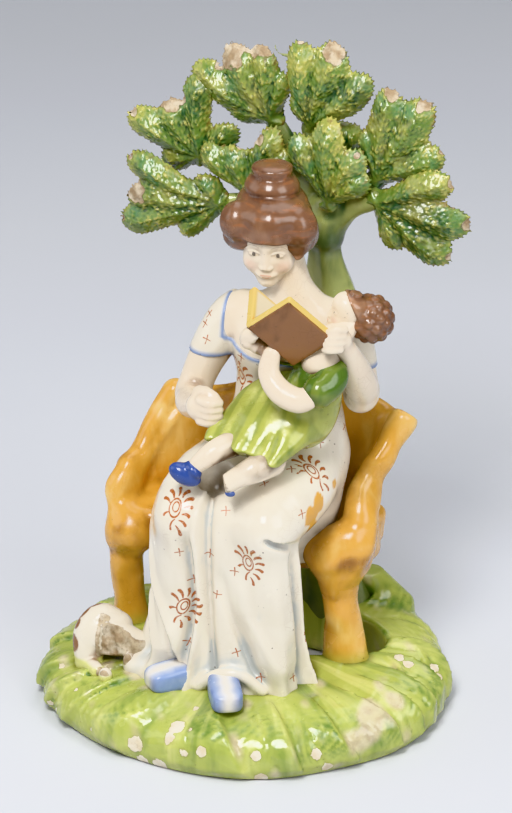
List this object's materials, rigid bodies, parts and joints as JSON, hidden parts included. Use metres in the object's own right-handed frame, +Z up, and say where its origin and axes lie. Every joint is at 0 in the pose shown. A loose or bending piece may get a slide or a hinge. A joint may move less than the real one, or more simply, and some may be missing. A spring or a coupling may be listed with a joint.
{
  "type": "ceramic figure group",
  "caption": "Glazed pottery figure group: a lady on a rustic bench reads with a child on her lap, before a tree of leaf sprays, on a round grassy mound.",
  "frame": {"origin": "centre of the whole group's footprint, on the surface it stands on", "axes": "+Z up through the tree's crown, -Y the front that the lady faces, +X to the right of a viewer in front"},
  "size_m": [0.1247, 0.1136, 0.2038],
  "materials": {
    "glazed_pottery": "glossy lead glaze over underglaze colours: green, ochre, brown and blue on a pale cream body, with a few bare chips"
  },
  "bodies": {
    "root": {"figure_group": "glazed_pottery"}
  },
  "joints": []
}
